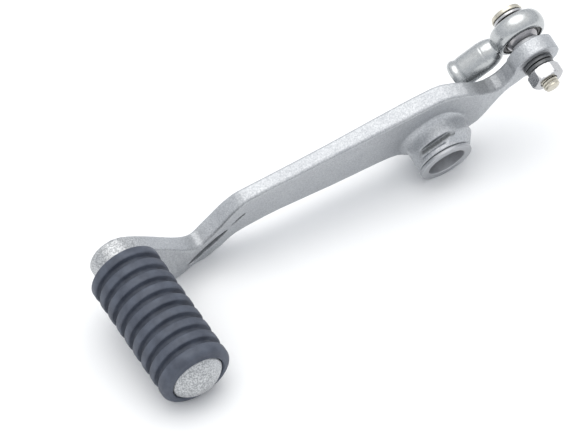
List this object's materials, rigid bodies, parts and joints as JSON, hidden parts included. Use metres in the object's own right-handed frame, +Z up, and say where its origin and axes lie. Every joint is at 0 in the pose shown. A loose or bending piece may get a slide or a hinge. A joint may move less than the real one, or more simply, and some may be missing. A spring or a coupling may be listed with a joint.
{
  "type": "foot gear-shift lever",
  "caption": "Cast foot gear-shift lever: a ribbed rubber toe peg, a bushed pivot boss and a rod-end ball joint bolted to its rear eye.",
  "frame": {"origin": "middle of the bounding box on the floor, with the lever lying on the rim of its outer bush, the underside of its front bend and the tip of its peg", "axes": "+X along the arm from the toe peg to the rear eye, +Y towards the engine side, +Z up"},
  "size_m": [0.1728, 0.0738, 0.051],
  "materials": {
    "lever_arm": "as cast, bead blasted, lightly tumbled",
    "peg_rubber": "matte, moulded round ribs",
    "pivot_bush_outer": "satin",
    "pivot_bush_inner": "satin",
    "stud_bolt": "zinc plated, a little yellow",
    "head_washer": "zinc plated",
    "ball_spacer": "turned",
    "stud_washer": "dark, satin",
    "spring_washer": "dark, satin",
    "stud_nut": "zinc plated, bright",
    "rod_end_ball": "ground and polished",
    "rod_end_race": "dark liner",
    "rod_end_housing": "bright plated, polished"
  },
  "bodies": {
    "lever": {"lever_arm": "lever_arm", "peg_rubber": "peg_rubber", "pivot_bush_outer": "pivot_bush_outer", "pivot_bush_inner": "pivot_bush_inner", "stud_bolt": "stud_bolt", "head_washer": "head_washer", "ball_spacer": "ball_spacer", "stud_washer": "stud_washer", "spring_washer": "spring_washer", "stud_nut": "stud_nut"},
    "swivel": {"rod_end_ball": "rod_end_ball"},
    "rod_end": {"rod_end_race": "rod_end_race", "rod_end_housing": "rod_end_housing"}
  },
  "joints": [
    {"name": "rod_end_swivel", "type": "hinge", "parent": "lever", "child": "swivel", "pos_m": [0.07675, 0.02402, 0.04168], "axis": [-0.0445, 0.9084, 0.4157], "continuous": true},
    {"name": "rod_end_tilt", "type": "hinge", "parent": "swivel", "child": "rod_end", "pos_m": [0.07675, 0.02402, 0.04168], "axis": [0.5667, 0.3656, -0.7384], "range_deg": [0, 12]}
  ]
}
